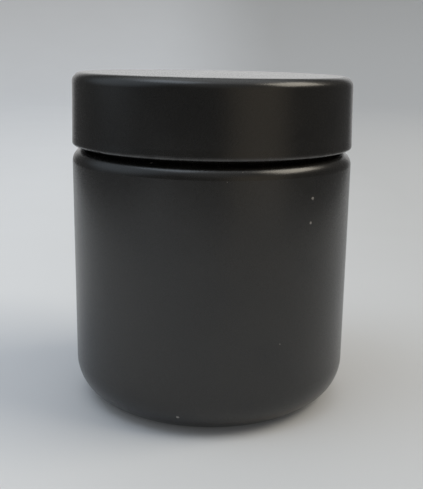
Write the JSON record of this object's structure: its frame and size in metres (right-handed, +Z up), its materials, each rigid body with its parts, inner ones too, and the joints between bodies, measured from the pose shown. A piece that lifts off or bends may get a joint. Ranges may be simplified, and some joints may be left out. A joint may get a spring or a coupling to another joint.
{
  "type": "screw-top candle tin",
  "caption": "Round drawn aluminium tin with a rounded base and a smooth screw lid that lifts off, for pouring a candle into or storing dry goods.",
  "frame": {"origin": "centre of the base, on the surface that the tin stands on", "axes": "+Z up along the tin's axis, through the middle of the lid; +X and +Y lie on the surface it stands on"},
  "size_m": [0.068, 0.068, 0.08],
  "materials": {
    "can_enamel": "satin matte black enamel outside, bare lacquered aluminium inside",
    "lid_enamel": "satin matte black enamel",
    "insert_plastic": "matte moulded polypropylene",
    "liner_foam": "white expanded foam with a smooth skin"
  },
  "bodies": {
    "tin": {"tin_body": "can_enamel"},
    "liner": {"lid_liner": "liner_foam"},
    "lid": {"lid_shell": "lid_enamel", "lid_thread_insert": "insert_plastic"}
  },
  "joints": [
    {"name": "lid_lift", "type": "slide", "parent": "tin", "child": "liner", "axis": [0, 0, 1], "range_m": [0, 0.032]},
    {"name": "lid_turn", "type": "hinge", "parent": "liner", "child": "lid", "pos_m": [0, 0, 0.0715], "axis": [0, 0, 1], "range_deg": [0, 2880]}
  ],
  "couplings": [
    {"joint": "lid_lift", "follows": "lid_turn", "m_per_rad": 0.00063662}
  ]
}
